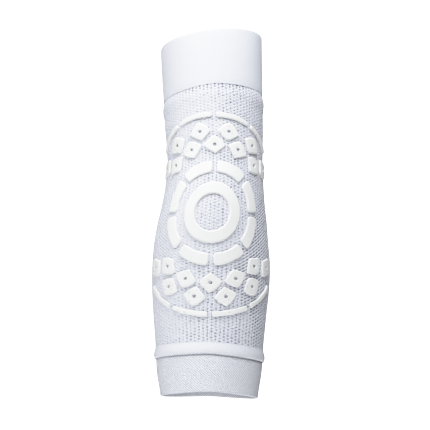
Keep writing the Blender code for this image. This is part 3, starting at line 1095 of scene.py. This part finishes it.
def map_body_stitches(mesh):
    """UV counted in eyelets: sideways from the middle of the front, and up from the welt."""
    across, along = stitch_places(read_all(mesh.vertices, "co", float, 3).reshape(-1, 3))
    corners = read_all(mesh.loops, "vertex_index")
    across = across[corners]
    starts = read_all(mesh.polygons, "loop_start")
    first = np.repeat(across[starts], read_all(mesh.polygons, "loop_total"))
    across = across - COLUMNS * np.round((across - first) / COLUMNS)
    add_stitch_map(mesh, across, along[corners])


map_body_stitches(body.data)
body.data.shade_smooth()
print("body stitch map in", [layer.name for layer in body.data.uv_layers])

# %% [markdown]
# ## The silicone relief
#
# The relief is laid out round the point of the elbow in polar terms: a closed ring, a ring of
# bars, two fields of lozenges with vent holes, and a thin broken border to each field. It is cast
# onto the cloth, so every pad follows the arm. Each pad is made from two lines, its outline and
# the line at its heart, with rounded edges between them like a drop of thick print.

# %% Relief sizes
RELIEF_RISE = 0.0012
RELIEF_SEAT = 0.0003
UPPER_MARGIN = 0.0200
LOWER_MARGIN = 0.0185
RING_BORE_RADIUS = 0.0130
BAND_WIDTH = 0.0085
WINDOW_GAP = 0.0070
ARC_COUNT = 8
ARC_GAP = 0.0032
LOZENGE_WIDTH = 0.0160
LOZENGE_HEIGHT = 0.0130
LOZENGE_GAP = 0.0020
LOZENGE_ROUNDNESS = 1.25
LOZENGE_ROWS = (5, 6)
VENT_RADIUS = 0.0012
FIELD_GAP = 0.0050
BORDER_WIDTH = 0.0035
BORDER_GAP = 0.0030
BORDER_COUNT = 4
BORDER_SPLIT = 0.0030
BORDER_ANGLE = math.radians(96.0)
CAP_ROUNDNESS = 4.0
BEVEL_WIDTH = 0.0009
PIERCED_LIMIT = 0.35
SOLID_LIMIT = 0.6
VENT_ROUND = 0.0004
EDGE_WANDER = 0.00007

# two staggered rows stand so far apart that their slanted sides keep the gap
SIDE_SHARE = ((LOZENGE_WIDTH + LOZENGE_GAP) / 2 / LOZENGE_WIDTH) ** LOZENGE_ROUNDNESS
ROW_PITCH = LOZENGE_HEIGHT * (1 - SIDE_SHARE) ** (1 / LOZENGE_ROUNDNESS)
ROW_PITCH += LOZENGE_GAP * math.hypot(1, LOZENGE_HEIGHT / LOZENGE_WIDTH)
ARC_RADIUS = RING_BORE_RADIUS + BAND_WIDTH * 1.5 + WINDOW_GAP
FIELD_RADIUS = ARC_RADIUS + BAND_WIDTH / 2 + FIELD_GAP + LOZENGE_HEIGHT / 2
LAST_ROW_RADIUS = FIELD_RADIUS + ROW_PITCH * (len(LOZENGE_ROWS) - 1)
BORDER_RADIUS = LAST_ROW_RADIUS + LOZENGE_HEIGHT / 2 + BORDER_GAP + BORDER_WIDTH / 2
RELIEF_RADIUS = BORDER_RADIUS + BORDER_WIDTH / 2
print("relief reaches", round(RELIEF_RADIUS, 4))


# %% Pads from an outline and a heart
def uneven_edge(count, cycles=(2, 3, 5, 7)):
    """A small closed wander for an outline, different for each pad."""
    angle = full_turn(count)
    phases = rng.uniform(0, 2 * np.pi, len(cycles))
    waves = [np.sin(n * angle + phase) for n, phase in zip(cycles, phases)]
    return EDGE_WANDER * np.sum(waves, axis=0)


def relief_points(flat, lift):
    """Points of the relief from flat places (sideways, lengthwise) round the elbow."""
    along = flat[:, 1] / RELIEF_RADIUS
    reach = np.where(along > 0, TOP_SEAM - UPPER_MARGIN, -WELT_TOP - LOWER_MARGIN)
    height = along * reach
    half, back, _, _ = section_at(height)
    return arm_points(flat[:, 0] / ((half + back) / 2), height, lift)


BEVEL = (
    # share of the bevel's width, share of the rise
    (0.00, 0.00), (0.00, 0.22), (0.10, 0.42), (0.30, 0.64),
    (0.58, 0.85), (0.82, 0.96), (1.00, 1.00), (1.30, 1.00),
)


def pad(outline, heart, pierced, shape, bevel=BEVEL_WIDTH, inner_bevel=BEVEL_WIDTH):
    """Adds one pad to a bmesh: outline and heart are matching rows of flat places."""
    towards = heart - outline
    width = np.linalg.norm(towards, axis=1)[:, None]
    inward = towards / np.maximum(width, 1e-9)
    rise = RELIEF_SEAT + RELIEF_RISE
    reach = np.minimum(bevel, width * (PIERCED_LIMIT if pierced else SOLID_LIMIT))
    rings = [relief_points(outline + inward * reach * x, rise * z) for x, z in BEVEL]
    if pierced:
        rings.append(relief_points((outline + heart) / 2, rise * 1.01))
        reach = np.minimum(inner_bevel, width * PIERCED_LIMIT)
        rings += [relief_points(heart - inward * reach * x, rise * z) for x, z in BEVEL[::-1]]
    else:
        rings.append(relief_points(heart, rise * 1.02))
    loops = [[shape.verts.new(point) for point in ring] for ring in rings]
    last = loops[-1]
    if not pierced:
        last = [shape.verts.new(point) for point in relief_points(heart, 0.0)]
    for low, high in [*zip(loops, loops[1:]), (last, loops[0])]:
        for index in range(len(outline)):
            after = (index + 1) % len(outline)
            shape.faces.new((low[index], low[after], high[after], high[index]))


def finish_pads(name, shape, finish):
    bmesh.ops.remove_doubles(shape, verts=shape.verts, dist=1e-6)
    bmesh.ops.recalc_face_normals(shape, faces=shape.faces)
    mesh = bpy.data.meshes.new(name)
    shape.to_mesh(mesh)
    shape.free()
    mesh.materials.append(finish)
    mesh.shade_smooth()
    return put_piece(name, mesh)


def polar(radius, bearing):
    return np.stack([radius * np.sin(bearing), radius * np.cos(bearing)], axis=-1)


# %% Ring, bars, lozenges and borders
RING_POINTS = 144
ARC_STEPS = 20
LOZENGE_POINTS = 48


def signed_power(value, power):
    """Bends a circle's sine and cosine towards a rounded square or a diamond."""
    return np.sign(value) * np.abs(value) ** power


def bar_pad(shape, radius, width, start, end):
    """A bar bent round the elbow, with rounded corners at both ends."""
    half = width / 2
    cap = half / radius
    run = start + cap + (end - start - 2 * cap) * np.arange(ARC_STEPS + 1) / ARC_STEPS
    corner = np.radians(np.linspace(80, -80, 13))
    reach = signed_power(np.cos(corner), 2 / CAP_ROUNDNESS)
    aside = signed_power(np.sin(corner), 2 / CAP_ROUNDNESS)
    outwards = np.concatenate([1 + 0 * run, aside, 0 * run - 1, -aside])
    bearings = np.concatenate([run, run[-1] + cap * reach, run[::-1], run[0] - cap * reach])
    hearts = np.concatenate([run, run[-1] + 0 * corner, run[::-1], run[0] + 0 * corner])
    outline = polar(radius + half * outwards + uneven_edge(len(hearts)), bearings)
    heart = polar(radius + 0 * hearts, hearts)
    pad(outline, heart, False, shape, min(BEVEL_WIDTH, width / 6))


def lozenge_pad(shape, radius, bearing):
    """A rounded diamond with a vent hole, one tip towards the elbow."""
    angle = full_turn(LOZENGE_POINTS)
    out = LOZENGE_HEIGHT / 2 * signed_power(np.cos(angle), 2 / LOZENGE_ROUNDNESS)
    aside = LOZENGE_WIDTH / 2 * signed_power(np.sin(angle), 2 / LOZENGE_ROUNDNESS)
    wander = uneven_edge(LOZENGE_POINTS)
    outline = polar(radius + out + wander, bearing + (aside + wander) / radius)
    vent_out = radius + VENT_RADIUS * np.cos(angle)
    heart = polar(vent_out, bearing + VENT_RADIUS * np.sin(angle) / radius)
    pad(outline, heart, True, shape, inner_bevel=VENT_ROUND)


def field_pads(shape, middle):
    """Staggered rows of lozenges and a broken border, laid out to both sides of a bearing."""
    step_angle = (LOZENGE_WIDTH + LOZENGE_GAP) / FIELD_RADIUS
    for row, count in enumerate(LOZENGE_ROWS):
        radius = FIELD_RADIUS + row * ROW_PITCH
        for index in range(count):
            lozenge_pad(shape, radius, middle + step_angle * (index - (count - 1) / 2))
    pitch = BORDER_ANGLE / BORDER_COUNT
    split = BORDER_SPLIT / BORDER_RADIUS
    for index in range(BORDER_COUNT):
        start = middle - BORDER_ANGLE / 2 + pitch * index + split / 2
        bar_pad(shape, BORDER_RADIUS, BORDER_WIDTH, start, start + pitch - split)


shape = bmesh.new()
bearings = full_turn(RING_POINTS)
outer_edge = polar(RING_BORE_RADIUS + BAND_WIDTH, bearings)
pad(outer_edge, polar(RING_BORE_RADIUS, bearings), True, shape)
ring = finish_pads("elbow_ring_silicone", shape, band_silicone)

shape = bmesh.new()
pitch = 2 * math.pi / ARC_COUNT
for index in range(ARC_COUNT):
    start = pitch * index + ARC_GAP / ARC_RADIUS / 2
    bar_pad(shape, ARC_RADIUS, BAND_WIDTH, start, start + pitch - ARC_GAP / ARC_RADIUS)
bars = finish_pads("arc_bars_silicone", shape, band_silicone)

fields = {}
for field, middle in (("upper", 0.0), ("lower", math.pi)):
    shape = bmesh.new()
    field_pads(shape, middle)
    fields[field] = finish_pads(f"{field}_field_silicone", shape, field_silicone)

# %% [markdown]
# ## The floor
#
# A pale floor far below the sleeve. It isn't part of the object.

# %% Floor
FLOOR_LEVEL = -0.80
FLOOR_RADIUS = 1.2
FLOOR_SIDES = 48

floor_finish, floor_shader, start = new_finish("floor_finish", 0.7, 0.0)
pale = blend_colours(start, soft_mottle(start, 3.0), (0.88, 0.88, 0.88), (0.91, 0.91, 0.91))
pale.feed(floor_shader, "Base Color")
turns = full_turn(FLOOR_SIDES)
edge = [(FLOOR_RADIUS * math.cos(a), FLOOR_RADIUS * math.sin(a), FLOOR_LEVEL) for a in turns]
floor = add_piece("floor", edge, [tuple(range(FLOOR_SIDES))], floor_finish)
print("floor at", FLOOR_LEVEL)

# %% [markdown]
# ## The pieces in place of the CAD solids
#
# Each piece rides on the part's one body and takes the place of its CAD solids, which are hidden.
# The knitted tubes are sheets of cloth, stretched over the arm, and their worn sizes are printed.


def stand_in(piece, slot, *nodes):
    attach(piece, "root")
    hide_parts(*nodes)


def numbered(name, count):
    return [f"{name}_{index + 1}" for index in range(count)]


def worn_round(low, high):
    """Mean circumference of the cloth between two levels, as worn."""
    turns = 2 * np.pi * np.arange(361) / 360
    courses = [knit_points(turns, level, 0.0) for level in np.linspace(low, high, 12)]
    return float(np.linalg.norm(np.diff(courses, axis=1), axis=2).sum(axis=1).mean())


stand_in(tubes[0], "plain_knit", "upper_cuff")
stand_in(tubes[1], "plain_knit", "lower_cuff")
stand_in(tubes[2], "plain_knit", "lower_welt")
stand_in(body, "open_knit", "sleeve_body")
stand_in(ring, "silicone", "elbow_ring")
stand_in(bars, "silicone", *numbered("arc_bar", ARC_COUNT))
for field, piece in fields.items():
    lozenges = numbered(f"{field}_lozenge", sum(LOZENGE_ROWS))
    stand_in(piece, "silicone", *lozenges, *numbered(f"{field}_border", BORDER_COUNT))
for piece, low, high, turned_under in (
    (tubes[0], TOP_SEAM, UPPER_REACH, 0.0),
    (tubes[1], -LOWER_REACH, LOWER_SEAM + WELT_TUCK, 0.0),
    (tubes[2], LOWER_SEAM, WELT_TOP, WELT_TUCK),
    (body, WELT_TOP, TOP_SEAM, 0.0),
):
    round_it = worn_round(low, high)
    long = high - low + turned_under
    print(piece.name, "worn", round(round_it, 4), "x", round(long, 4))
